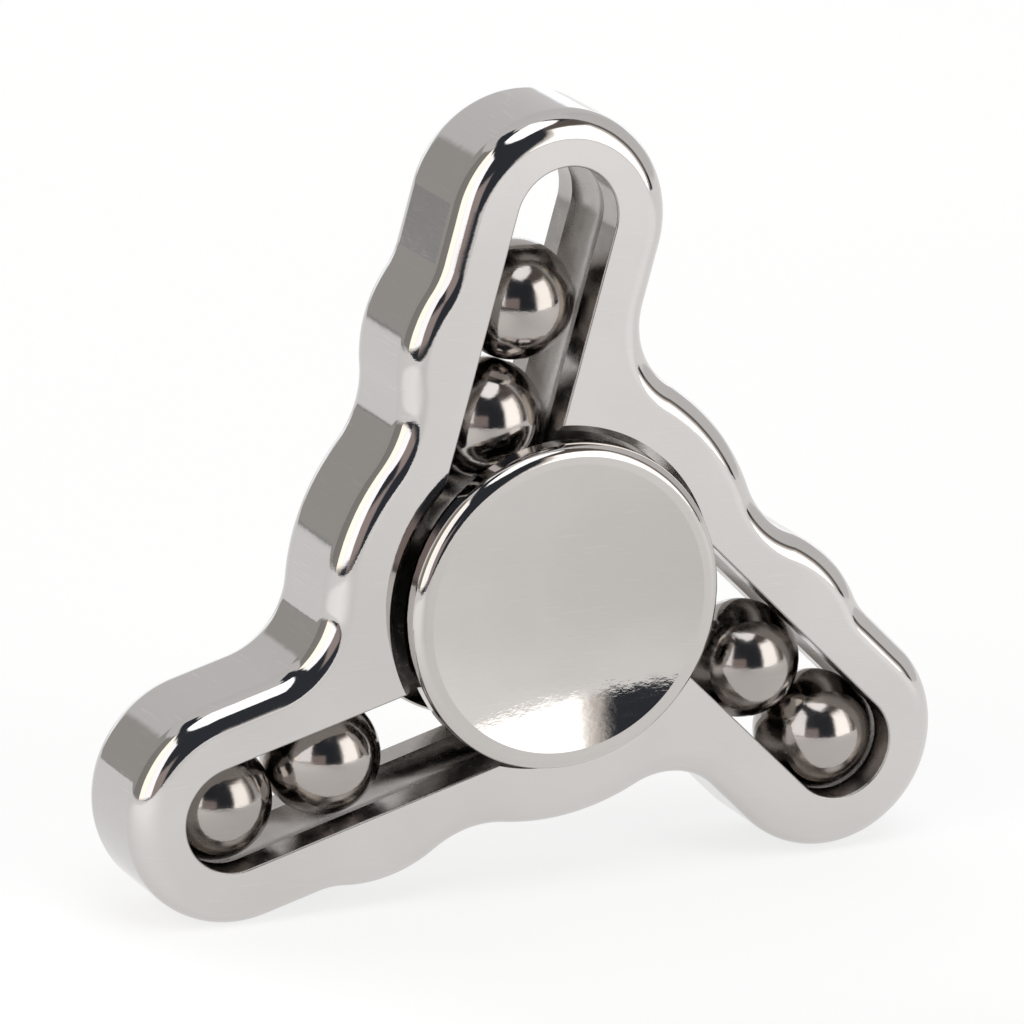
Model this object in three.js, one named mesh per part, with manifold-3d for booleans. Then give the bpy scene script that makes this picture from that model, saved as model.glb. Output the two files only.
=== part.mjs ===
// Three-armed fidget spinner with two loose steel balls in each arm.
// Millimetres. Origin at the hub centre, half way through the thickness.
// +Y is the spin axis, pointing to the back; the front face looks along -Y; +Z runs up the top arm.
import * as THREE from 'three';
import Module from 'manifold-3d';

// ---- frame (one solid piece of stainless steel) ----
const FRAME_T = 8.8;            // thickness
const EDGE_R = 1.75;            // rounding of the outer edge
const ARMS = 3;
const SLOT_CENTRE = 25.55;      // hub centre to the outer end centre of a slot
const SLOT_TILT = 14 * Math.PI / 180;   // slot direction against the arm's radius
const SLOT_HALF = 3.63;         // half width between the lips
const SLOT_RUN = 20.6;          // length of the slot's centre line
const GROOVE_R = 4.32;          // radius of the round race behind the lips
const LOBE_R = 7.73;            // arm end
const LOBE_IN = 0.56;           // arm end centre, inward of the slot's end centre
const WAVE_ALONG = 9.76;        // swelling on the arm's left flank, centre along the slot
const WAVE_SIDE = -0.92;        // and across it
const WAVE_R = 9.63;
const FILLET_LOBE_WAVE = 5.08;
const FILLET_WAVE_BOSS = 6.86;
const BOSS_R = 15.93;           // body round the hub
const FILLET_ARM_BOSS = 5.4;

// ---- hub recess ----
const RECESS_R = 11.25;
const RECESS_DEPTH = 1.3;
const RECESS_BEVEL = 0.5;

// ---- ball bearing, inch size 1/4 x 1/2 x 3/16, in a pressed sleeve ----
const SLEEVE_R = 8.0;
const SLEEVE_W = 5.8;
const BRG_R = 6.35;
const BRG_BORE = 3.175;
const BRG_W = 4.762;
const BRG_PITCH = 4.7625;
const BRG_BALL_R = 0.794;
const BRG_BALLS = 10;
const BRG_GROOVE_R = 0.86;
const INNER_SHOULDER = 4.2;
const OUTER_SHOULDER = 5.33;
const CAGE_IN = 4.42;
const CAGE_OUT = 5.1;
const CAGE_W = 2.3;
const CAGE_POCKET_R = 0.88;

// ---- caps ----
const CAP_R = 11.1;
const CAP_LOW = 0.7;            // underside above the frame's face
const CAP_TOP = 2.6;            // rim above the frame's face
const CAP_EDGE_R = 0.8;         // outer rounding of the rim
const RIM_IN = 9.85;            // start of the finger dish; flat land between it and the rounding
const DISH_DEPTH = 1.1;
const CAP_LOW_BEVEL = 0.15;
const CAP_FOOT_R = 4.1;         // foot that clamps the bearing's inner ring
const STEM_R = 3.12;            // the two stems meet half way through the bearing
const STEM_GAP = 0.06;
const THREAD_R = 1.9;           // threaded hole in the front stem
const THREAD_DEPTH = 2.8;       // its bottom, from the mid plane
const STUD_R = 1.84;            // stud on the rear cap that screws into it
const STUD_REACH = 2.5;

// ---- race balls ----
const BALL_R = 4.0;
const BALL_PITCH = 8.04;        // two balls touching
const REST = {                  // outer ball's place along its slot, arm by arm
  top: 6.40,
  left: 0.03,
  right: -0.10,
};

// ---- facets ----
const HUB_FACETS = 40;          // bearing seats and caps
const RECESS_FACETS = 56;
const DISH_RINGS = 4;

const wasm = await Module();
wasm.setup();

// ---------- helpers ----------
function toSolid(geometry) {
  // welded, outward-facing solid from any closed three.js geometry
  const src = geometry.index ? geometry.toNonIndexed() : geometry;
  const pos = src.getAttribute('position');
  const seen = new Map();
  const verts = [];
  const tris = [];
  const key = (i) => [pos.getX(i), pos.getY(i), pos.getZ(i)].map((v) => Math.round(v * 1e5)).join();
  const id = [];
  for (let i = 0; i < pos.count; i++) {
    const k = key(i);
    if (!seen.has(k)) {
      seen.set(k, verts.length / 3);
      verts.push(pos.getX(i), pos.getY(i), pos.getZ(i));
    }
    id.push(seen.get(k));
  }
  let volume = 0;
  for (let i = 0; i < id.length; i += 3) {
    const [a, b, c] = [id[i], id[i + 1], id[i + 2]];
    if (a === b || b === c || a === c) continue;
    tris.push(a, b, c);
    const [p, q, r] = [a, b, c].map((v) => new THREE.Vector3().fromArray(verts, v * 3));
    volume += p.dot(q.cross(r));
  }
  if (volume < 0) {
    for (let i = 0; i < tris.length; i += 3) {
      [tris[i + 1], tris[i + 2]] = [tris[i + 2], tris[i + 1]];
    }
  }
  const mesh = new wasm.Mesh({
    numProp: 3,
    vertProperties: Float32Array.from(verts),
    triVerts: Uint32Array.from(tris),
  });
  return new wasm.Manifold(mesh);
}

function toGeometry(solid) {
  const mesh = solid.getMesh();
  const g = new THREE.BufferGeometry();
  g.setAttribute('position', new THREE.BufferAttribute(Float32Array.from(mesh.vertProperties), 3));
  g.setIndex(new THREE.BufferAttribute(Uint32Array.from(mesh.triVerts), 1));
  const flat = g.toNonIndexed();
  flat.computeVertexNormals();
  return flat;
}

// turned piece about Y from a closed profile of [radius, y] points
function turned(profile, segments) {
  const pts = profile.map(([r, y]) => new THREE.Vector2(r, y));
  const [first, last] = [pts[0], pts[pts.length - 1]];
  if (first.x > 1e-9 || last.x > 1e-9) {
    pts.push(first.clone());
  }
  return toSolid(new THREE.LatheGeometry(pts, segments));
}

// points on an arc, from angle a to angle b (radians), ends included
function arcPoints(cx, cy, r, a, b, n) {
  const out = [];
  for (let i = 0; i <= n; i++) {
    const t = a + (b - a) * i / n;
    out.push([cx + r * Math.cos(t), cy + r * Math.sin(t)]);
  }
  return out;
}

// ---------- layout of one arm, drawn with the arm pointing up ----------
const along = new THREE.Vector2(-Math.sin(SLOT_TILT), -Math.cos(SLOT_TILT));   // inward, down the slot
const side = new THREE.Vector2(-Math.cos(SLOT_TILT), Math.sin(SLOT_TILT));     // to the arm's left
const hub = new THREE.Vector2(0, 0);

function at(s, o) {
  return new THREE.Vector2(0, SLOT_CENTRE).addScaledVector(along, s).addScaledVector(side, o);
}

function armAngle(k) {
  return k * 2 * Math.PI / ARMS;
}

// centre of a fillet of radius r outside both circles, on the left flank
function filletCentre(c1, r1, c2, r2, r) {
  const d = c1.distanceTo(c2);
  const e = c2.clone().sub(c1).divideScalar(d);
  const q = ((r1 + r) ** 2 - (r2 + r) ** 2 + d * d) / (2 * d);
  const h = Math.sqrt((r1 + r) ** 2 - q * q);
  const base = c1.clone().addScaledVector(e, q);
  const n = new THREE.Vector2(-e.y, e.x);
  const a = base.clone().addScaledVector(n, h);
  const b = base.clone().addScaledVector(n, -h);
  return a.dot(side) > b.dot(side) ? a : b;
}

function touch(centre, radius, other) {
  return other.clone().sub(centre).setLength(radius).add(centre);
}

function sweep(out, centre, radius, from, to, ccw, stepDeg) {
  const a = Math.atan2(from.y - centre.y, from.x - centre.x);
  let b = Math.atan2(to.y - centre.y, to.x - centre.x);
  if (ccw && b < a) b += 2 * Math.PI;
  if (!ccw && b > a) b -= 2 * Math.PI;
  const n = Math.max(2, Math.ceil(Math.abs(b - a) * 180 / Math.PI / stepDeg));
  for (const [x, y] of arcPoints(centre.x, centre.y, radius, a, b, n)) {
    out.push(new THREE.Vector2(x, y));
  }
}

// one third of the outline, counter-clockwise, from the arm's right root over the lobe to its left root
function armOutline() {
  const out = [];
  const hubAlong = hub.clone().sub(at(0, 0)).dot(along);
  const hubSide = hub.clone().sub(at(0, 0)).dot(side);

  const rootSide = -(LOBE_R + FILLET_ARM_BOSS);
  const reach = Math.sqrt((BOSS_R + FILLET_ARM_BOSS) ** 2 - (rootSide - hubSide) ** 2);
  const root = at(hubAlong - reach, rootSide);
  const rootOnBoss = touch(hub, BOSS_R, root);
  sweep(out, root, FILLET_ARM_BOSS, rootOnBoss, at(hubAlong - reach, -LOBE_R), false, 13);

  const lobe = at(LOBE_IN, 0);
  sweep(out, lobe, LOBE_R, at(LOBE_IN, -LOBE_R), at(LOBE_IN, LOBE_R), true, 12);

  const wave = at(WAVE_ALONG, WAVE_SIDE);
  const neckSide = LOBE_R + FILLET_LOBE_WAVE;
  const neckBack = Math.sqrt((WAVE_R + FILLET_LOBE_WAVE) ** 2 - (neckSide - WAVE_SIDE) ** 2);
  const neck = at(WAVE_ALONG - neckBack, neckSide);
  sweep(out, neck, FILLET_LOBE_WAVE, at(WAVE_ALONG - neckBack, LOBE_R), touch(wave, WAVE_R, neck), false, 12);

  const dip = filletCentre(wave, WAVE_R, hub, BOSS_R, FILLET_WAVE_BOSS);
  sweep(out, wave, WAVE_R, touch(wave, WAVE_R, neck), touch(wave, WAVE_R, dip), true, 8);
  sweep(out, dip, FILLET_WAVE_BOSS, touch(wave, WAVE_R, dip), touch(hub, BOSS_R, dip), false, 12);

  const next = rootOnBoss.clone().rotateAround(hub, armAngle(1));
  sweep(out, hub, BOSS_R, touch(hub, BOSS_R, dip), next, true, 9);
  return out;
}

function frameOutline() {
  const third = armOutline();
  const all = [];
  for (let k = 0; k < ARMS; k++) {
    for (const p of third) {
      const q = p.clone().rotateAround(hub, armAngle(k));
      if (all.length === 0 || all[all.length - 1].distanceTo(q) > 0.02) {
        all.push(q);
      }
    }
  }
  if (all[0].distanceTo(all[all.length - 1]) < 0.02) {
    all.pop();
  }
  return all;
}

// drawing plane (x right, y up, z to the viewer) to the part's frame
function stand(geometry) {
  return geometry.rotateX(Math.PI / 2);
}

// ---------- cutters ----------
function slotCutter(k) {
  const shape = new THREE.Shape();
  const points = [];
  sweep(points, at(0, 0), SLOT_HALF, at(0, -SLOT_HALF), at(0, SLOT_HALF), true, 14);
  sweep(points, at(SLOT_RUN, 0), SLOT_HALF, at(SLOT_RUN, SLOT_HALF), at(SLOT_RUN, -SLOT_HALF), true, 30);
  shape.setFromPoints(points);
  const g = new THREE.ExtrudeGeometry(shape, { depth: FRAME_T + 2, bevelEnabled: false });
  g.translate(0, 0, -FRAME_T / 2 - 1);
  g.rotateZ(armAngle(k));
  return toSolid(stand(g));
}

function grooveCutter(k) {
  // a pipe with round ends, along the slot at mid thickness
  const g = new THREE.CapsuleGeometry(GROOVE_R, SLOT_RUN, 6, 24);
  g.rotateZ(-SLOT_TILT);
  const middle = at(SLOT_RUN / 2, 0);
  g.translate(middle.x, middle.y, 0);
  g.rotateZ(armAngle(k));
  return toSolid(stand(g));
}

function recessCutter(face) {
  const y0 = face * FRAME_T / 2;
  const floor = y0 - face * RECESS_DEPTH;
  return turned([
    [0, floor],
    [RECESS_R, floor],
    [RECESS_R, y0 - face * RECESS_BEVEL],
    [RECESS_R + RECESS_BEVEL, y0],
    [RECESS_R + RECESS_BEVEL, y0 + face],
    [0, y0 + face],
  ], RECESS_FACETS);
}

// ---------- pieces ----------
function makeFrame() {
  const shape = new THREE.Shape(frameOutline());
  const g = new THREE.ExtrudeGeometry(shape, {
    depth: FRAME_T - 2 * EDGE_R,
    bevelEnabled: true,
    bevelThickness: EDGE_R,
    bevelSize: EDGE_R,
    bevelOffset: -EDGE_R,
    bevelSegments: 3,
  });
  g.translate(0, 0, -(FRAME_T - 2 * EDGE_R) / 2);
  let body = toSolid(stand(g));
  for (let k = 0; k < ARMS; k++) {
    body = body.subtract(slotCutter(k));
    body = body.subtract(grooveCutter(k));
  }
  body = body.subtract(recessCutter(-1));
  body = body.subtract(recessCutter(1));
  const core = turned([[0, -FRAME_T], [SLEEVE_R, -FRAME_T], [SLEEVE_R, FRAME_T], [0, FRAME_T]], HUB_FACETS);
  return body.subtract(core);
}

function makeSleeve() {
  const h = SLEEVE_W / 2;
  return turned([[BRG_R, -h], [SLEEVE_R, -h], [SLEEVE_R, h], [BRG_R, h]], HUB_FACETS);
}

function makeOuterRing() {
  const h = BRG_W / 2;
  const half = Math.acos((OUTER_SHOULDER - BRG_PITCH) / BRG_GROOVE_R);
  const groove = arcPoints(BRG_PITCH, 0, BRG_GROOVE_R, -half, half, 4);
  return turned([[BRG_R, -h], [BRG_R, h], [OUTER_SHOULDER, h], ...groove.reverse(), [OUTER_SHOULDER, -h]], HUB_FACETS);
}

function makeInnerRing() {
  const h = BRG_W / 2;
  const half = Math.acos((BRG_PITCH - INNER_SHOULDER) / BRG_GROOVE_R);
  const groove = arcPoints(BRG_PITCH, 0, BRG_GROOVE_R, Math.PI - half, Math.PI + half, 4);
  return turned([[BRG_BORE, h], [BRG_BORE, -h], [INNER_SHOULDER, -h], ...groove.reverse(), [INNER_SHOULDER, h]], HUB_FACETS);
}

function makeCage() {
  const h = CAGE_W / 2;
  let ring = turned([[CAGE_IN, -h], [CAGE_OUT, -h], [CAGE_OUT, h], [CAGE_IN, h]], HUB_FACETS);
  for (let i = 0; i < BRG_BALLS; i++) {
    const pocket = new THREE.CylinderGeometry(CAGE_POCKET_R, CAGE_POCKET_R, 3, 10);
    pocket.translate(0, BRG_PITCH, 0);
    pocket.rotateZ(2 * Math.PI * i / BRG_BALLS);
    ring = ring.subtract(toSolid(stand(pocket)));
  }
  return ring;
}

function makeBearingBall(i) {
  const g = new THREE.SphereGeometry(BRG_BALL_R, 9, 6);
  const a = 2 * Math.PI * i / BRG_BALLS;
  g.translate(-BRG_PITCH * Math.sin(a), 0, BRG_PITCH * Math.cos(a));
  return toSolid(g);
}

// finger cap: dished disc, foot on the inner ring, stem through the bearing; face is -1 front, 1 back
function makeCap(face) {
  const y = (v) => face * v;
  const plane = FRAME_T / 2;
  const top = plane + CAP_TOP;
  const low = plane + CAP_LOW;
  const rimFlat = CAP_R - CAP_EDGE_R;
  const dishR = (RIM_IN ** 2 + DISH_DEPTH ** 2) / (2 * DISH_DEPTH);
  const dish = [];
  for (let i = DISH_RINGS; i >= 0; i--) {
    const r = RIM_IN * i / DISH_RINGS;
    dish.push([r, y(top - DISH_DEPTH + dishR - Math.sqrt(dishR ** 2 - r ** 2))]);
  }
  const rim = arcPoints(rimFlat, 0, CAP_EDGE_R, 0, Math.PI / 2, 3).map(([r, v]) => [r, y(top - CAP_EDGE_R + v)]);
  const outside = [
    [CAP_FOOT_R, y(BRG_W / 2)],
    [CAP_FOOT_R, y(low)],
    [CAP_R - CAP_LOW_BEVEL, y(low)],
    [CAP_R, y(low + CAP_LOW_BEVEL)],
    ...rim,
    ...dish,
  ];
  const stemEnd = STEM_GAP / 2;
  if (face < 0) {
    return turned([
      [0, y(THREAD_DEPTH)],
      [THREAD_R, y(THREAD_DEPTH)],
      [THREAD_R, y(stemEnd)],
      [STEM_R, y(stemEnd)],
      [STEM_R, y(BRG_W / 2)],
      ...outside,
    ], HUB_FACETS);
  }
  return turned([
    [0, -STUD_REACH],
    [STUD_R, -STUD_REACH],
    [STUD_R, stemEnd],
    [STEM_R, stemEnd],
    [STEM_R, y(BRG_W / 2)],
    ...outside,
  ], HUB_FACETS);
}

function makeRaceBall(k, s) {
  const p = at(s, 0).rotateAround(hub, armAngle(k));
  const g = new THREE.SphereGeometry(BALL_R, 18, 12);
  g.translate(p.x, 0, p.y);
  return toSolid(g);
}

// ---------- assembly ----------
const polished = { color: 0xcfcbc8, roughness: 0.12, metalness: 1 };
const capSteel = { color: 0xc9c5c2, roughness: 0.16, metalness: 1 };
const ballSteel = { color: 0x9a9591, roughness: 0.06, metalness: 1 };
const ringSteel = { color: 0xb5b5b5, roughness: 0.2, metalness: 1 };
const cageSteel = { color: 0xa8a59c, roughness: 0.35, metalness: 1 };

const group = new THREE.Group();
group.name = 'fidget_spinner';

function add(name, solid, look) {
  const mesh = new THREE.Mesh(toGeometry(solid), new THREE.MeshStandardMaterial({ ...look }));
  mesh.name = name;
  group.add(mesh);
}

add('frame', makeFrame(), polished);
add('bearing_sleeve', makeSleeve(), ringSteel);
add('bearing_outer_ring', makeOuterRing(), ringSteel);
add('bearing_inner_ring', makeInnerRing(), ringSteel);
add('bearing_cage', makeCage(), cageSteel);
for (let i = 0; i < BRG_BALLS; i++) {
  add('bearing_ball_' + String(i + 1).padStart(2, '0'), makeBearingBall(i), ballSteel);
}
for (const [k, arm] of ['top', 'left', 'right'].entries()) {
  add('race_ball_' + arm + '_outer', makeRaceBall(k, REST[arm]), ballSteel);
  add('race_ball_' + arm + '_inner', makeRaceBall(k, REST[arm] + BALL_PITCH), ballSteel);
}
add('cap_front', makeCap(-1), capSteel);
add('cap_rear', makeCap(1), capSteel);

export default group;
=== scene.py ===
"""Looks of the three-armed fidget spinner: fine-meshed steel pieces, a pale floor and soft light.

Drawing plane used by the shape functions: x right, y up the top arm, z to the viewer, in millimetres.
The row frame is x, -z, y of it, in metres.
"""

import math

import bmesh
import bpy
import numpy as np
from mathutils import Matrix, Vector
from mathutils.geometry import tessellate_polygon


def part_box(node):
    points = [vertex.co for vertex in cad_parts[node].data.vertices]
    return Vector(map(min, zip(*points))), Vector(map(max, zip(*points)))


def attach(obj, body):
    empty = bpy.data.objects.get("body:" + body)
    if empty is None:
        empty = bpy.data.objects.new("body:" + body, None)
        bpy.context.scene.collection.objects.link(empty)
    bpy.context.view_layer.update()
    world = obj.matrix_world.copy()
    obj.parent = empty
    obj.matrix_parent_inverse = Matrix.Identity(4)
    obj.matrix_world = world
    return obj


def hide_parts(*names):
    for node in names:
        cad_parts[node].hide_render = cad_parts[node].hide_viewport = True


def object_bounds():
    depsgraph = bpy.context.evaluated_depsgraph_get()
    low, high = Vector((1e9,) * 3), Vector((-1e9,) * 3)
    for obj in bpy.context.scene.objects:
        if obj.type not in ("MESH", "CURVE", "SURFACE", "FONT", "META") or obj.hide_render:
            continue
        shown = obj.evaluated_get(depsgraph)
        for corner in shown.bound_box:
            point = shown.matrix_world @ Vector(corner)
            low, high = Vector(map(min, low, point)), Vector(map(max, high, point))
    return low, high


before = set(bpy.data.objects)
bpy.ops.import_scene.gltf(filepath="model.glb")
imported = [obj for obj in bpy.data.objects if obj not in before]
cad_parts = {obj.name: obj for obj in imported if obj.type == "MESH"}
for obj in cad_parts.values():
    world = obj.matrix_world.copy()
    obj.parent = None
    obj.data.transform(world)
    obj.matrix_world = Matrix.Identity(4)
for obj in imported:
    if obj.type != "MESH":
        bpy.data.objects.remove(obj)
CAD_BOX = [list(corner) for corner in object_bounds()]
MM = 0.001

# ---- frame ----
FRAME_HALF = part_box("frame")[1].y / MM      # half thickness
EDGE_R = 1.75
ARMS = ("top", "left", "right")
SLOT_CENTRE = 25.55                         # hub centre to a slot's outer end centre
SLOT_TILT = math.radians(14)
SLOT_HALF = 3.63                            # half width between the lips
SLOT_RUN = 20.6                             # length of the slot's centre line
GROOVE_R = 4.32                             # ball race behind the lips
SLOT_BREAK = 0.12                           # rounding of the slot's rim
LOBE_R = 7.73
LOBE_IN = 0.56
WAVE_ALONG = 9.76
WAVE_SIDE = -0.92
WAVE_R = 9.63
FILLET_LOBE_WAVE = 5.08
FILLET_WAVE_BOSS = 6.86
BOSS_R = 15.93
FILLET_ARM_BOSS = 5.4
RECESS_R = 11.25
RECESS_DEPTH = 1.3
RECESS_BEVEL = 0.5
RECESS_Z = FRAME_HALF - RECESS_DEPTH
LIP_Z = math.sqrt(GROOVE_R**2 - SLOT_HALF**2)   # where the race meets the lip

# ---- hub ----
SLEEVE_R = 8.0
SLEEVE_HALF = 2.9
BRG_R = 6.35
BRG_HALF = 2.381
BRG_BORE = 3.175
BRG_PITCH = 4.7625
BRG_BALL_R = 0.794
BRG_GROOVE_R = 0.86
INNER_SHOULDER = 4.2
OUTER_SHOULDER = 5.33
RING_CHAMFER = 0.15
CAP_R = 11.1
CAP_LOW = FRAME_HALF + 0.7
CAP_TOP = FRAME_HALF + 2.6
CAP_EDGE_R = 0.8
CAP_LOW_BEVEL = 0.15
RIM_IN = 9.85
DISH_DEPTH = 1.1
CAP_FOOT_R = 4.1
STEM_R = 3.12
STEM_END = 0.03
THREAD_R = 1.9
THREAD_DEPTH = 2.8
STUD_R = 1.84
STUD_REACH = 2.5
BALL_R = 4.0

# ---- fineness ----
ARC_STEP = math.radians(2)
EDGE_STEPS = 12                               # round the frame's outer edge
RIM_ROWS = 5                                  # round a slot's rim
RACE_STEPS = 24                               # round a slot's race
BEND_STEPS = 24                               # round a slot's inner end
HUB_STEPS = 40                                # of a hub wall between two slots
LATHE_STEPS = 240
CAP_EDGE_STEPS = 14
DISH_STEPS = 40
RING_GROOVE_STEPS = 12
SLOT_BALL_FINENESS = 5
SMALL_BALL_FINENESS = 4


# ---------- a mesh made of patches with exact normals ----------
class Surface:
    """Patches of faces in the drawing plane, welded into one mesh by build."""

    def __init__(self):
        self.points, self.faces, self.normals, self.wear, self.slots = [], [], [], [], []
        self.count = 0

    def grid(self, points, normals, slot=0, wear=0.0):
        """Quads over rows and columns of drawing-plane points, facing the way their normals do."""
        rows, cols = points.shape[:2]
        i, j = np.meshgrid(np.arange(rows - 1), np.arange(cols - 1), indexing="ij")
        a = (i * cols + j).ravel()
        quads = np.stack([a, a + 1, a + cols + 1, a + cols], 1)
        self.add(points.reshape(-1, 3), quads, normals.reshape(-1, 3), slot, wear)

    def add(self, points, faces, normals, slot=0, wear=0.0):
        faces = np.asarray(faces)
        corners = points[faces]
        across = np.cross(corners[:, 2] - corners[:, 0], corners[:, -1] - corners[:, 1])
        flip = (across * normals[faces].mean(1)).sum(1) < 0
        faces[flip] = faces[flip][:, ::-1]
        self.points.append(points)
        self.normals.append(normals)
        self.faces += [(face + self.count).tolist() for face in faces]
        self.slots += [slot] * len(faces)
        self.wear += [wear] * len(faces)
        self.count += len(points)

    def build(self, name, materials):
        """One welded mesh object in the row frame."""
        points = np.concatenate(self.points)
        normals = np.concatenate(self.normals)
        keys = np.round(points / 1e-4).astype(np.int64)
        _, first, weld = np.unique(keys, axis=0, return_index=True, return_inverse=True)
        weld = weld.ravel()
        polys, loops, slots, wear = [], [], [], []
        for face, slot, worn in zip(self.faces, self.slots, self.wear):
            kept = [n for k, n in enumerate(face) if weld[n] != weld[face[k - 1]]]
            if len(kept) >= 3 and len({weld[n] for n in kept}) == len(kept):
                polys.append([int(weld[n]) for n in kept])
                loops += kept
                slots.append(slot)
                wear += [worn] * len(kept)
        mesh = bpy.data.meshes.new(name)
        mesh.from_pydata(to_row(points[first]) * MM, [], polys)
        mesh.polygons.foreach_set("use_smooth", [True] * len(polys))
        mesh.polygons.foreach_set("material_index", slots)
        mesh.attributes.new("wear", "FLOAT", "CORNER").data.foreach_set("value", wear)
        mesh.normals_split_custom_set(to_row(normals[loops]))
        for material in materials:
            mesh.materials.append(material)
        piece = bpy.data.objects.new(name, mesh)
        bpy.context.scene.collection.objects.link(piece)
        return piece


def to_row(a):
    """Drawing-plane points or directions, turned into the row frame."""
    return np.stack([a[..., 0], -a[..., 2], a[..., 1]], -1)


def with_z(plane, z):
    """Plane points with a height added."""
    return np.concatenate([plane, np.broadcast_to(z, plane.shape[:-1] + (1,))], -1)


# ---------- layout of one arm, drawn with the arm pointing up ----------
ALONG = np.array([-math.sin(SLOT_TILT), -math.cos(SLOT_TILT)])    # inward, down the slot
SIDE = np.array([-math.cos(SLOT_TILT), math.sin(SLOT_TILT)])      # to the arm's left
HUB = np.zeros(2)


def at(s, o):
    """The point s inward along the slot from its outer end centre, and o to the arm's left."""
    s, o = np.asarray(s, float)[..., None], np.asarray(o, float)[..., None]
    return np.array([0, SLOT_CENTRE]) + s * ALONG + o * SIDE


def turn(points, k):
    """Points of the top arm moved to arm k, counter-clockwise."""
    a = 2 * math.pi * k / len(ARMS)
    c, s = math.cos(a), math.sin(a)
    return points @ np.array([[c, s], [-s, c]])


HUB_ALONG = float((HUB - at(0, 0)) @ ALONG)
HUB_SIDE = float((HUB - at(0, 0)) @ SIDE)


def slot_meets(radius, offset):
    """Place along the slot where the line at that offset meets a circle round the hub."""
    return HUB_ALONG - np.sqrt(np.asarray(radius) ** 2 - (np.asarray(offset) - HUB_SIDE) ** 2)


def touch(centre, radius, other):
    """Where a circle meets the line from its centre to another circle's centre."""
    d = other - centre
    return centre + d * radius / np.linalg.norm(d)


def fillet_centre(c1, r1, c2, r2, r):
    """Centre of the fillet of radius r that joins two circles on the arm's left."""
    d = np.linalg.norm(c2 - c1)
    e = (c2 - c1) / d
    q = ((r1 + r) ** 2 - (r2 + r) ** 2 + d * d) / (2 * d)
    h = math.sqrt((r1 + r) ** 2 - q * q)
    n = np.array([-e[1], e[0]])
    return max((c1 + q * e + h * n, c1 + q * e - h * n), key=lambda p: p @ SIDE)


def arc(centre, start, end, ccw):
    """Points from start to end about centre, and the outline's outward normals there."""
    a = math.atan2(*(start - centre)[::-1])
    b = math.atan2(*(end - centre)[::-1])
    if ccw and b < a:
        b += 2 * math.pi
    if not ccw and b > a:
        b -= 2 * math.pi
    t = np.linspace(a, b, max(3, math.ceil(abs(b - a) / ARC_STEP)) + 1)
    radial = np.stack([np.cos(t), np.sin(t)], 1)
    return centre + np.linalg.norm(start - centre) * radial, radial if ccw else -radial


def outline():
    """The frame's outline, counter-clockwise, with its outward normals."""
    root_side = -(LOBE_R + FILLET_ARM_BOSS)
    reach = math.sqrt((BOSS_R + FILLET_ARM_BOSS) ** 2 - (root_side - HUB_SIDE) ** 2)
    root = at(HUB_ALONG - reach, root_side)
    on_boss = touch(HUB, BOSS_R, root)
    wave = at(WAVE_ALONG, WAVE_SIDE)
    neck_side = LOBE_R + FILLET_LOBE_WAVE
    neck_s = WAVE_ALONG - math.sqrt((WAVE_R + FILLET_LOBE_WAVE) ** 2 - (neck_side - WAVE_SIDE) ** 2)
    neck = at(neck_s, neck_side)
    dip = fillet_centre(wave, WAVE_R, HUB, BOSS_R, FILLET_WAVE_BOSS)
    arcs = [
        arc(root, on_boss, at(HUB_ALONG - reach, -LOBE_R), False),
        arc(at(LOBE_IN, 0), at(LOBE_IN, -LOBE_R), at(LOBE_IN, LOBE_R), True),
        arc(neck, at(neck_s, LOBE_R), touch(wave, WAVE_R, neck), False),
        arc(wave, touch(wave, WAVE_R, neck), touch(wave, WAVE_R, dip), True),
        arc(dip, touch(wave, WAVE_R, dip), touch(HUB, BOSS_R, dip), False),
        arc(HUB, touch(HUB, BOSS_R, dip), turn(on_boss, 1), True),
    ]
    third = np.concatenate([a[0] for a in arcs]), np.concatenate([a[1] for a in arcs])
    points = np.concatenate([turn(third[0], k) for k in range(len(ARMS))])
    normals = np.concatenate([turn(third[1], k) for k in range(len(ARMS))])
    fresh = np.linalg.norm(points - np.roll(points, 1, 0), axis=1) > 1e-3
    return points[fresh], normals[fresh]


# ---------- frame ----------
def add_rounded_wall(surface, points, normals):
    """The outer wall with its edges rounded on both faces; returns the flat face's outline."""
    phi = np.linspace(0, math.pi / 2, EDGE_STEPS + 1)
    inset = EDGE_R * (1 - np.sin(phi))
    z = FRAME_HALF - EDGE_R * (1 - np.cos(phi))
    rows = [(d, h, math.sin(p), math.cos(p)) for d, h, p in zip(inset, z, phi)]
    rows += [(d, -h, s, -c) for d, h, s, c in rows[::-1]]
    loop, out = np.vstack([points, points[:1]]), np.vstack([normals, normals[:1]])
    grid = np.stack([with_z(loop - out * d, h) for d, h, _, _ in rows])
    facing = np.stack([with_z(out * s, c) for _, _, s, c in rows])
    surface.grid(grid, facing)
    return points - normals * EDGE_R


def front_rows():
    """Slot rows from the face down to the recess floor: offset, z, side part and z part of the normal."""
    rim = []
    for p in np.linspace(0, math.pi / 2, RIM_ROWS):
        out, up = math.sin(p), math.cos(p)
        rim.append((SLOT_HALF + SLOT_BREAK * (1 - out), FRAME_HALF - SLOT_BREAK * (1 - up), out, up))
    return rim + [(SLOT_HALF, FRAME_HALF - RECESS_BEVEL, 1, 0), (SLOT_HALF, RECESS_Z, 1, 0)]


def recess_radius(z):
    """Radius of the hub recess at a height, with its bevel at the face."""
    return RECESS_R + max(0.0, z - (FRAME_HALF - RECESS_BEVEL))


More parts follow.
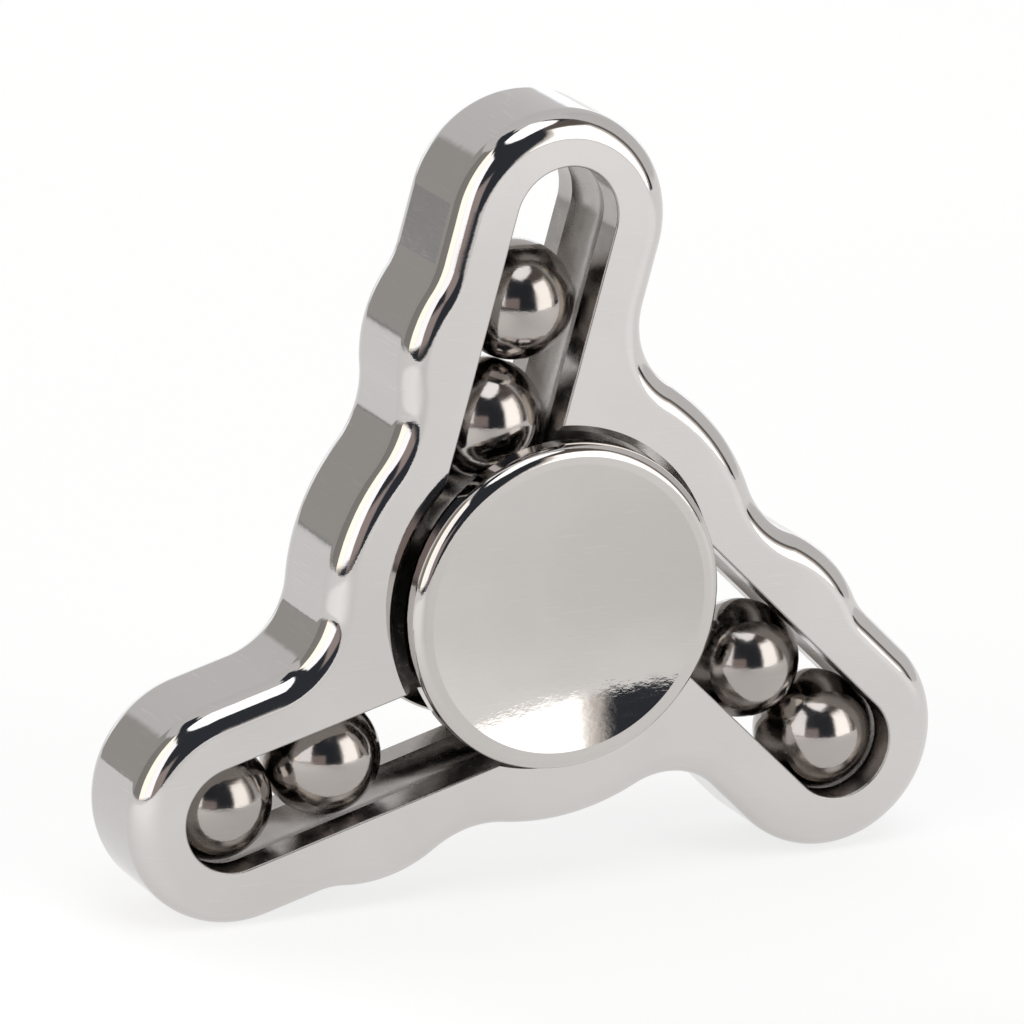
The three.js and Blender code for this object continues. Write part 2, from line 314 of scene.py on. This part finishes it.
def slot_strip(rows, k, hub_ends):
    """Grid of a slot's wall: hub end, straight side, round end, straight side, hub end."""
    theta = np.linspace(0, math.pi, round(math.pi / ARC_STEP) + 1)[:, None]
    bend = -SIDE * np.cos(theta) - ALONG * np.sin(theta)
    points, normals = [], []
    for offset, z, out, up in rows:
        right, left, left_away = hub_ends(offset, z)
        s = np.concatenate([right, np.zeros(len(theta)), left])
        away = np.vstack([[-SIDE] * len(right), bend, left_away])
        points.append(with_z(turn(at(s, 0) + offset * away, k), z))
        normals.append(with_z(turn(-away * out, k), up))
    return np.stack(points), np.stack(normals)


def ends_at_recess(offset, z):
    """The slot's sides run to the recess wall."""
    r = recess_radius(z)
    return [slot_meets(r, -offset)], [slot_meets(r, offset)], [SIDE]


def inner_bend(offset):
    """Directions round the slot's inner end, from its left side to where the bearing sleeve closes it."""
    c = np.array([SLOT_RUN - HUB_ALONG, -HUB_SIDE])
    d = np.linalg.norm(c)
    stop = math.atan2(c[0], c[1]) + math.acos((SLEEVE_R**2 - d * d - offset**2) / (2 * offset * d))
    psi = np.linspace(0, stop, BEND_STEPS + 1)[:, None]
    return SIDE * np.cos(psi) + ALONG * np.sin(psi)


def ends_at_sleeve(offset, z):
    """The right side runs to the bearing sleeve, and the left one round the inner bend."""
    bend = inner_bend(offset)
    right = [slot_meets(SLEEVE_R, -offset), slot_meets(RECESS_R, -SLOT_HALF)]
    left = [slot_meets(RECESS_R, SLOT_HALF)] + [SLOT_RUN] * len(bend)
    return right, left, np.vstack([[SIDE], bend])


def mirrored(points):
    """Front points or directions, as they are on the back."""
    return points * np.array([1, 1, -1])


def add_both(surface, points, normals, **kind):
    """A patch on the front and the same one on the back."""
    surface.grid(points, normals, **kind)
    surface.grid(mirrored(points), mirrored(normals), **kind)


def left_end(radius, offset):
    """Where a slot's left side meets a circle round the hub, with the arm pointing up."""
    if radius == SLEEVE_R:
        return at(SLOT_RUN, 0) + offset * inner_bend(offset)[-1]
    return at(slot_meets(radius, offset), offset)


def sector(offset, radius, k):
    """Angles of a wall round the hub, from slot k's left side to the next slot's right side."""
    a = turn(left_end(radius, offset), k)
    b = turn(at(slot_meets(radius, -offset), -offset), k + 1)
    a, b = math.atan2(a[1], a[0]), math.atan2(b[1], b[0])
    return a + np.linspace(0, 1, HUB_STEPS + 1) * ((b - a) % (2 * math.pi))


def ring(radius, angles):
    return radius * np.stack([np.cos(angles), np.sin(angles)], -1)


def ring_wall(rows, k, radius_of, in_part, up_part):
    """Grid of a wall round the hub between slot k and the next, at the rows' heights."""
    angles = [sector(o, radius_of(z), k) for o, z, _, _ in rows]
    points = [with_z(ring(radius_of(z), a), z) for a, (_, z, _, _) in zip(angles, rows)]
    normals = [with_z(-ring(in_part, a), up_part) for a in angles]
    return np.stack(points), np.stack(normals)


def add_flat(surface, loops, z, slot):
    """A flat area at that height on the front, and the same one on the back; holes follow the outline."""
    tris = np.array(tessellate_polygon([[Vector((*p, 0)) for p in loop] for loop in loops]))
    flat = with_z(np.concatenate(loops), z)
    up = with_z(flat[:, :2] * 0, 1)
    surface.add(flat, tris.copy(), up, slot=slot)
    surface.add(mirrored(flat), tris.copy(), mirrored(up), slot=slot)


def make_frame(materials):
    """The body: outer wall and faces polished, slots and hub walls as machined."""
    polished, machined = 0, 1
    surface = Surface()
    outer = add_rounded_wall(surface, *outline())
    front = front_rows()
    lip = [(SLOT_HALF, RECESS_Z, 1, 0), (SLOT_HALF, LIP_Z, 1, 0)]
    top = math.asin(LIP_Z / GROOVE_R)
    race = [
        (GROOVE_R * math.cos(b), GROOVE_R * math.sin(b), math.cos(b), -math.sin(b))
        for b in np.linspace(top, -top, RACE_STEPS + 1)
    ]
    bevel, wall = front[: RIM_ROWS + 1], front[RIM_ROWS:]
    core = lip + race[1:-1] + [(o, -z, a, b) for o, z, a, b in lip[::-1]]
    slant = math.sqrt(0.5)
    inner = []
    for k in range(len(ARMS)):
        points, normals = slot_strip(front, k, ends_at_recess)
        add_both(surface, points[:RIM_ROWS], normals[:RIM_ROWS], slot=machined, wear=1.0)
        add_both(surface, points[RIM_ROWS - 1 :], normals[RIM_ROWS - 1 :], slot=machined)
        inner.append(points[0][:, :2])
        add_both(surface, *slot_strip(lip, k, ends_at_sleeve), slot=machined)
        surface.grid(*slot_strip(race, k, ends_at_sleeve), slot=machined)
        points, normals = ring_wall(bevel, k, recess_radius, slant, slant)
        add_both(surface, points, normals, slot=polished, wear=1.0)
        inner.append(points[0][1:-1, :2])
        add_both(surface, *ring_wall(wall, k, recess_radius, 1, 0), slot=machined)
        surface.grid(*ring_wall(core, k, lambda z: SLEEVE_R, 1, 0), slot=machined)
        slot_side = at(SLOT_RUN, 0) + SLOT_HALF * inner_bend(SLOT_HALF)
        floor = [
            ring(RECESS_R, sector(SLOT_HALF, RECESS_R, k)),
            ring(SLEEVE_R, sector(SLOT_HALF, SLEEVE_R, k))[::-1],
            turn(slot_side[-2::-1], k),
        ]
        add_flat(surface, [np.concatenate(floor)], RECESS_Z, machined)
    add_flat(surface, [outer, np.concatenate(inner)], FRAME_HALF, polished)
    return surface.build("spinner_frame", materials)


# ---------- turned pieces ----------
def straight(corners):
    """Profile pieces between corners given as (radius, z), counter-clockwise, each with its own normal."""
    pieces = []
    for (r0, z0), (r1, z1) in zip(corners, corners[1:]):
        d = math.hypot(r1 - r0, z1 - z0)
        n = ((z1 - z0) / d, (r0 - r1) / d)
        pieces.append([(r0, z0, *n), (r1, z1, *n)])
    return pieces


def curved(centre, radius, a, b, steps, hollow=False):
    """One round profile piece from angle a to b; hollow faces its centre."""
    sign = -1 if hollow else 1
    piece = []
    for t in np.linspace(a, b, steps + 1):
        c, s = math.cos(t), math.sin(t)
        piece.append((centre[0] + radius * c, centre[1] + radius * s, sign * c, sign * s))
    return piece


def make_turned(name, profile, face, materials):
    """A lathe piece; face is 1 for a front piece and -1 for its mirror image at the back."""
    surface = Surface()
    t = np.linspace(0, 2 * math.pi, LATHE_STEPS + 1)
    t[-1] = 0
    radial = np.stack([np.cos(t), np.sin(t)], -1)
    for piece in profile:
        rows = np.array(piece)
        points = with_z(rows[:, None, :1] * radial, rows[:, None, 1:2] * face)
        normals = with_z(rows[:, None, 2:3] * radial, rows[:, None, 3:4] * face)
        surface.grid(points, normals)
    return surface.build(name, materials)


def make_cap(face, name, materials):
    """A finger cap with its stem. The front one, face 1, is bored and the rear one has the stud."""
    rim_flat = CAP_R - CAP_EDGE_R
    if face > 0:
        stem = [(0, THREAD_DEPTH), (THREAD_R, THREAD_DEPTH), (THREAD_R, STEM_END), (STEM_R, STEM_END)]
    else:
        stem = [(0, -STUD_REACH), (STUD_R, -STUD_REACH), (STUD_R, STEM_END), (STEM_R, STEM_END)]
    under = stem + [
        (STEM_R, BRG_HALF),
        (CAP_FOOT_R, BRG_HALF),
        (CAP_FOOT_R, CAP_LOW),
        (CAP_R - CAP_LOW_BEVEL, CAP_LOW),
        (CAP_R, CAP_LOW + CAP_LOW_BEVEL),
        (CAP_R, CAP_TOP - CAP_EDGE_R),
    ]
    rim = curved((rim_flat, CAP_TOP - CAP_EDGE_R), CAP_EDGE_R, 0, math.pi / 2, CAP_EDGE_STEPS)
    land = straight([(rim_flat, CAP_TOP), (RIM_IN, CAP_TOP)])
    dish_r = (RIM_IN**2 + DISH_DEPTH**2) / (2 * DISH_DEPTH)
    middle = (0, CAP_TOP - DISH_DEPTH + dish_r)
    rim_angle = math.asin(RIM_IN / dish_r) - math.pi / 2
    dish = curved(middle, dish_r, rim_angle, -math.pi / 2, DISH_STEPS, hollow=True)
    return make_turned(name, straight(under) + [rim] + land + [dish], face, materials)


def ring_profile(inner, outer, half):
    """Section of a plain ring with all its edges chamfered."""
    c = RING_CHAMFER
    corners = [(inner + c, -half), (outer - c, -half), (outer, c - half), (outer, half - c)]
    corners += [(outer - c, half), (inner + c, half), (inner, half - c), (inner, c - half)]
    return straight(corners + corners[:1])


def race_ring_profile(back, shoulder, half):
    """Section of a bearing ring with its ball groove; back is the plain face's radius."""
    side = 1 if back > shoulder else -1
    c = RING_CHAMFER
    corners = [(shoulder, -side * half), (back - side * c, -side * half), (back, -side * (half - c))]
    corners += [(r, -z) for r, z in corners[::-1]]
    reach = math.acos(abs(shoulder - BRG_PITCH) / BRG_GROOVE_R)
    middle = 0 if side > 0 else math.pi
    start, stop = middle + reach, middle - reach
    groove = curved((BRG_PITCH, 0), BRG_GROOVE_R, start, stop, RING_GROOVE_STEPS, hollow=True)
    upper = straight([corners[-1], groove[0][:2]])
    lower = straight([groove[-1][:2], corners[0]])
    return straight(corners) + upper + [groove] + lower


def make_ball(name, node, radius, fineness, materials):
    """A lapped ball centred where its CAD node is."""
    lo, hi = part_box(node)
    centre = np.array((lo + hi) / 2)
    mesh = bpy.data.meshes.new(name)
    bm = bmesh.new()
    bmesh.ops.create_icosphere(bm, subdivisions=fineness, radius=1.0)
    bm.to_mesh(mesh)
    bm.free()
    unit = np.array([v.co for v in mesh.vertices])
    unit /= np.linalg.norm(unit, axis=1)[:, None]
    mesh.vertices.foreach_set("co", (unit * radius * MM + centre).ravel())
    mesh.polygons.foreach_set("use_smooth", [True] * len(mesh.polygons))
    for material in materials:
        mesh.materials.append(material)
    piece = bpy.data.objects.new(name, mesh)
    bpy.context.scene.collection.objects.link(piece)
    return piece


# ---------- shader nodes ----------
class Graph:
    """Short ways to add nodes to a tree."""

    def __init__(self, tree):
        self.tree = tree
        tree.nodes.clear()

    def add(self, kind, *values, **settings):
        node = self.tree.nodes.new(kind)
        for key, value in settings.items():
            setattr(node, key, value)
        for value, socket in zip(values, node.inputs):
            self.wire(value, socket)
        return node

    def wire(self, value, socket):
        if isinstance(value, bpy.types.NodeSocket):
            self.tree.links.new(value, socket)
        else:
            socket.default_value = value

    def math(self, operation, a, b=0.0):
        return self.add("ShaderNodeMath", a, b, operation=operation).outputs[0]

    def ramp(self, value, low, high, to_low=0.0, to_high=1.0):
        """A smooth step from to_low to to_high."""
        limits = (low, high, to_low, to_high)
        return self.add("ShaderNodeMapRange", value, *limits, interpolation_type="SMOOTHSTEP").outputs[0]

    def mix(self, factor, a, b):
        """Colour a where the factor is 0, and b where it is 1."""
        node = self.add("ShaderNodeMix", data_type="RGBA")
        self.wire(factor, node.inputs["Factor"])
        self.wire((*a, 1) if isinstance(a, tuple) else a, node.inputs[6])
        self.wire((*b, 1) if isinstance(b, tuple) else b, node.inputs[7])
        return node.outputs[2]


# ---------- materials ----------
class Material(Graph):
    """One Principled shader and its texture nodes."""

    def __init__(self, name):
        self.material = bpy.data.materials.new(name)
        self.material.use_nodes = True
        super().__init__(self.material.node_tree)
        self.shader = self.add("ShaderNodeBsdfPrincipled")
        self.add("ShaderNodeOutputMaterial", self.shader.outputs[0])
        coordinates = self.add("ShaderNodeTexCoord")
        self.place, self.facing = coordinates.outputs["Object"], coordinates.outputs["Normal"]

    def stretched(self, scale, rotation=(0, 0, 0)):
        node = self.add("ShaderNodeMapping")
        self.wire(self.place, node.inputs["Vector"])
        node.inputs["Scale"].default_value = scale
        node.inputs["Rotation"].default_value = rotation
        return node.outputs[0]

    def noise(self, vector, scale=1.0, detail=3.0, roughness=0.5):
        node = self.add("ShaderNodeTexNoise")
        self.wire(vector, node.inputs["Vector"])
        node.inputs["Scale"].default_value = scale
        node.inputs["Detail"].default_value = detail
        node.inputs["Roughness"].default_value = roughness
        return node.outputs["Fac"]

    def bump(self, height, strength, distance, normal=None):
        node = self.add("ShaderNodeBump")
        self.wire(height, node.inputs["Height"])
        node.inputs["Strength"].default_value = strength
        node.inputs["Distance"].default_value = distance
        if normal is not None:
            self.wire(normal, node.inputs["Normal"])
        return node.outputs[0]


def scratches(n, seed, density):
    """Thin short lines: stretched noise, cut to its crests, in one direction."""
    turned = n.stretched((350, 350, 9000), (0.7 * seed, 1.9 * seed, 0.4 * seed))
    return n.ramp(n.noise(turned, detail=1.0), 1 - density, 1.0 - density * 0.6)


def steel(name, colour, dark, roughness, wave=0.02, grain=0.01, lines=0.3, ripple=0.0, flank_painted_shade=None):
    """Steel with slight tone changes, fine scratches and a surface that isn't quite flat.

    ripple is how strongly the lapping marks show, which are about 0.4 mm apart.
    The flank colour is a darker tone painted on the walls that run along the spin axis: painted shade that
    dims what those walls mirror.
    """
    n = Material(name)
    tone = n.noise(n.place, scale=90, detail=4)
    smear = n.noise(n.place, scale=700, detail=5, roughness=0.65)
    scratch = n.math("MAXIMUM", scratches(n, 1, 0.36), scratches(n, 2.3, 0.36))
    wear = n.add("ShaderNodeAttribute", attribute_name="wear").outputs["Fac"]
    base = n.mix(n.ramp(tone, 0.35, 0.65), colour, dark)
    # Painted shade: the walls that run along the spin axis take the darker flank colour.
    if flank_painted_shade:
        split = n.add("ShaderNodeSeparateXYZ")
        n.wire(n.facing, split.inputs[0])
        along = n.math("ABSOLUTE", split.outputs["Y"])
        base = n.mix(n.ramp(along, 0.0, 0.95, 1.0, 0.0), base, flank_painted_shade)
    bright = tuple(c * 1.15 for c in colour)
    n.wire(n.mix(n.math("MULTIPLY", scratch, 0.2), base, bright), n.shader.inputs["Base Color"])
    rough = n.ramp(smear, 0.3, 0.75, roughness * 0.75, roughness * 1.35)
    rough = n.math("ADD", rough, n.math("MULTIPLY", scratch, lines * 0.12))
    rough = n.math("ADD", rough, n.math("MULTIPLY", wear, 0.05))
    n.wire(rough, n.shader.inputs["Roughness"])
    normal = n.bump(n.noise(n.place, scale=420, detail=2), wave, 0.0004)
    if ripple:
        marks = n.noise(n.stretched((1500, 1500, 3400), (0.3, 0.4, 0.0)), detail=3, roughness=0.6)
        normal = n.bump(marks, ripple, 0.00005, normal)
    normal = n.bump(n.noise(n.place, scale=6000, detail=2), grain, 0.00004, normal)
    normal = n.bump(scratch, lines * 0.04, -0.00001, normal)
    n.wire(normal, n.shader.inputs["Normal"])
    n.shader.inputs["Metallic"].default_value = 1.0
    return n.material


# ---------- steels: bright tone, darker tone, roughness ----------
polished = steel(
    "polished_steel",
    (0.61, 0.59, 0.575),
    (0.585, 0.563, 0.548),
    0.05,
    wave=0.025,
    ripple=0.03,
    # painted shade for the walls along the spin axis
    flank_painted_shade=(0.52, 0.505, 0.495),
)
machined = steel("machined_steel", (0.44, 0.42, 0.405), (0.37, 0.35, 0.335), 0.22, wave=0.05, grain=0.05)
cap_steel = steel("cap_steel", (0.56, 0.535, 0.515), (0.535, 0.51, 0.49), 0.04, wave=0.03, ripple=0.06)
ball_steel = steel("ball_steel", (0.42, 0.39, 0.37), (0.37, 0.345, 0.325), 0.12, wave=0.015, ripple=0.15)
ring_steel = steel("ring_steel", (0.50, 0.49, 0.48), (0.44, 0.43, 0.42), 0.16, wave=0.01, grain=0.06)
cage_steel = steel("cage_steel", (0.46, 0.44, 0.42), (0.40, 0.38, 0.36), 0.3, wave=0.05, grain=0.1)


# ---------- pieces ----------
def fit(piece, node, body):
    """Put a piece in its CAD node's stead."""
    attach(piece, body)
    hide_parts(node)


def fit_ring(name, profile, node, body):
    fit(make_turned(name, profile, 1, [ring_steel]), node, body)


fit(make_frame([polished, machined]), "frame", "frame")
fit(make_cap(1, "finger_cap_front", [cap_steel]), "cap_front", "hub")
fit(make_cap(-1, "finger_cap_rear", [cap_steel]), "cap_rear", "hub")
fit_ring("pressed_sleeve", ring_profile(BRG_R, SLEEVE_R, SLEEVE_HALF), "bearing_sleeve", "frame")
outer_ring = race_ring_profile(BRG_R, OUTER_SHOULDER, BRG_HALF)
fit_ring("outer_ring", outer_ring, "bearing_outer_ring", "frame")
inner_ring = race_ring_profile(BRG_BORE, INNER_SHOULDER, BRG_HALF)
fit_ring("inner_ring", inner_ring, "bearing_inner_ring", "hub")
for arm in ARMS:
    for place in ("outer", "inner"):
        node = f"race_ball_{arm}_{place}"
        ball = make_ball(f"slot_ball_{arm}_{place}", node, BALL_R, SLOT_BALL_FINENESS, [ball_steel])
        fit(ball, node, f"ball_{arm}_{place}")
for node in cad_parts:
    if node.startswith("bearing_ball_"):
        ball = make_ball(f"small_{node}", node, BRG_BALL_R, SMALL_BALL_FINENESS, [ball_steel])
        fit(ball, node, "bearing_ball_set")
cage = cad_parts["bearing_cage"]
cage.data.materials.clear()
cage.data.materials.append(cage_steel)

# ---------- floor ----------
FLOOR_Z = CAD_BOX[0][2]
FLOOR_REACH = 1.6                             # metres to the sides and the back
FLOOR_FRONT = -0.21
FLOOR_GLOW = 0.69
# Pools of painted light and painted shade in the floor's glow: x, y and radius in metres, and the gain.
# The middle front and the far left have painted shade.
FLOOR_PAINTED_POOLS = (
    (0.1, -0.14, 0.13, 0.16),
    (-0.12, -0.06, 0.12, 0.25),
    (-0.01, -0.13, 0.11, -0.12),
    (-1.1, 1.2, 1.1, -0.6),
)


def make_floor():
    n = Material("pale_floor")
    tone = n.ramp(n.noise(n.place, scale=3, detail=2), 0.3, 0.7)
    n.wire(n.mix(tone, (0.36, 0.36, 0.36), (0.38, 0.38, 0.38)), n.shader.inputs["Base Color"])
    n.shader.inputs["Roughness"].default_value = 0.9
    n.shader.inputs["Specular IOR Level"].default_value = 0.0
    n.shader.inputs["Emission Color"].default_value = (1, 1, 1, 1)
    # The floor's own even glow, with the pools of painted light and painted shade added to it by place.
    glow_and_painted_pools = FLOOR_GLOW
    for x, y, radius, gain in FLOOR_PAINTED_POOLS:
        gap = n.add("ShaderNodeVectorMath", operation="DISTANCE")
        n.wire(n.place, gap.inputs[0])
        gap.inputs[1].default_value = (x, y, FLOOR_Z)
        glow_and_painted_pools = n.math("ADD", glow_and_painted_pools, n.ramp(gap.outputs["Value"], radius / 2, radius, gain, 0.0))
    n.wire(glow_and_painted_pools, n.shader.inputs["Emission Strength"])
    mesh = bpy.data.meshes.new("floor")
    near, far = FLOOR_FRONT, FLOOR_REACH
    corners = [(-far, near), (far, near), (far, far), (-far, far)]
    mesh.from_pydata([(x, y, FLOOR_Z) for x, y in corners], [], [(0, 1, 2, 3)])
    mesh.materials.append(n.material)
    floor = bpy.data.objects.new("floor", mesh)
    bpy.context.scene.collection.objects.link(floor)


make_floor()


# ---------- light: a studio of soft boxes, pale walls and a dark gap, told by direction ----------
class Studio(Graph):
    """World light. Azimuth 0 is in front of the object, 90 on its right; angles are in degrees."""

    def __init__(self, below):
        world = bpy.data.worlds.new("studio")
        bpy.context.scene.world = world
        world.use_nodes = True
        super().__init__(world.node_tree)
        ray = self.add("ShaderNodeTexCoord").outputs["Generated"]
        x, y, z = self.add("ShaderNodeSeparateXYZ", ray).outputs
        azimuth = self.math("ARCTAN2", x, self.math("MULTIPLY", y, -1.0))
        self.azimuth = self.math("MULTIPLY", azimuth, math.degrees(1))
        self.elevation = self.math("MULTIPLY", self.math("ARCSINE", z), math.degrees(1))
        self.colour = below

    def inside(self, value, soft):
        """1 where value is above 0, fading over soft degrees."""
        return self.ramp(value, -soft / 2, soft / 2)

    def zone(self, azimuth, half, low, high, colour, fan=0.0, tilt=0.0, soft=3.0):
        """A patch of light or dark laid over what is there.

        Its lower edge rises by fan a degree to both sides, and its upper edge by tilt to the right.
        """
        turned = self.math("SUBTRACT", self.azimuth, azimuth)
        aside = self.add("ShaderNodeMath", turned, 180.0, -180.0, operation="WRAP").outputs[0]
        away = self.math("ABSOLUTE", aside)
        floor = self.math("ADD", self.math("MULTIPLY", away, fan), low)
        ceiling = self.math("ADD", self.math("MULTIPLY", aside, tilt), high)
        mask = self.inside(self.math("SUBTRACT", half, away), soft)
        for gap in (
            self.math("SUBTRACT", self.elevation, floor),
            self.math("SUBTRACT", ceiling, self.elevation),
        ):
            mask = self.math("MULTIPLY", mask, self.inside(gap, soft))
        self.colour = self.mix(mask, self.colour, colour)

    def finish(self, backdrop):
        """The object is lit by the zones and seen against a plain backdrop."""
        seen = self.add("ShaderNodeLightPath").outputs["Is Camera Ray"]
        lit = self.add("ShaderNodeBackground", self.colour)
        plain = self.add("ShaderNodeBackground", (*backdrop, 1))
        shade = self.add("ShaderNodeMixShader", seen, lit.outputs[0], plain.outputs[0])
        self.add("ShaderNodeOutputWorld", shade.outputs[0])


def light_studio():
    studio = Studio(below=(0.90, 0.89, 0.88))
    dark = (0.04, 0.045, 0.055)
    # A pale room with a white backdrop behind
    studio.zone(0, 200, 0, 120, (0.82, 0.81, 0.81))
    studio.zone(162, 35, -30, 10, (1.45, 1.5, 1.55))
    # Grey wall on the left
    studio.zone(-140, 20, -6, 40, (0.5, 0.48, 0.46), tilt=0.3)
    studio.zone(-107, 18, 0, 52, (0.34, 0.33, 0.31), tilt=0.3)
    # Unlit part of the room, in front and overhead on the left
    studio.zone(-12, 80, -9, 80, dark, soft=2)
    studio.zone(-105, 30, 60, 76, dark)
    # Dim parts above and beside the soft box in front
    studio.zone(42, 26, 38, 60, (0.15, 0.13, 0.12), soft=6)
    studio.zone(62, 6, 0, 50, (0.2, 0.18, 0.17))
    # Wall on the right
    studio.zone(97, 29, 0, 62, (0.76, 0.75, 0.75))
    # Camera stand
    studio.zone(-29, 15, -4, 15, (0.42, 0.35, 0.34), soft=6)
    # Soft box on the left
    studio.zone(-77, 12.5, 0, 54, (1.95, 1.82, 1.62), tilt=-0.35, soft=5)
    studio.zone(-53, 12, 0, 47, (1.7, 1.7, 1.74), tilt=-0.5)
    # Soft box overhead
    studio.zone(-5, 60, 48, 120, (1.95, 1.96, 2.0), fan=0.28)
    # Soft box in front, on the right
    studio.zone(38, 20, -6, 40, (0.9, 0.85, 0.8), soft=4)
    studio.zone(36.5, 15, -9, 37, (2.4, 2.38, 2.32), soft=4)
    studio.finish(backdrop=(1.0, 1.0, 1.0))


light_studio()


# ---------- camera ----------
CAMERA_AIM = Vector((-0.0010, 0.0, 0.0047))
CAMERA_DISTANCE = 0.5588
CAMERA_LENS = 299.0                           # mm, on a sensor this wide
CAMERA_SENSOR = 36.0
CAMERA_AZIMUTH = math.radians(-26.50)
CAMERA_ELEVATION = math.radians(17.18)
CAMERA_ROLL = math.radians(2.26)


def make_camera():
    camera = bpy.data.objects.new("camera", bpy.data.cameras.new("camera"))
    bpy.context.scene.collection.objects.link(camera)
    turned = Matrix.Rotation(CAMERA_AZIMUTH, 4, "Z")
    raised = Matrix.Rotation(math.pi / 2 - CAMERA_ELEVATION, 4, "X")
    rolled = Matrix.Rotation(CAMERA_ROLL, 4, "Z")
    away = Matrix.Translation((0, 0, CAMERA_DISTANCE))
    camera.matrix_world = Matrix.Translation(CAMERA_AIM) @ turned @ raised @ away @ rolled
    camera.data.lens = CAMERA_LENS
    camera.data.sensor_width = CAMERA_SENSOR
    camera.data.clip_start, camera.data.clip_end = 0.01, 20
    bpy.context.scene.camera = camera


make_camera()
bpy.context.scene.view_settings.view_transform = "Standard"
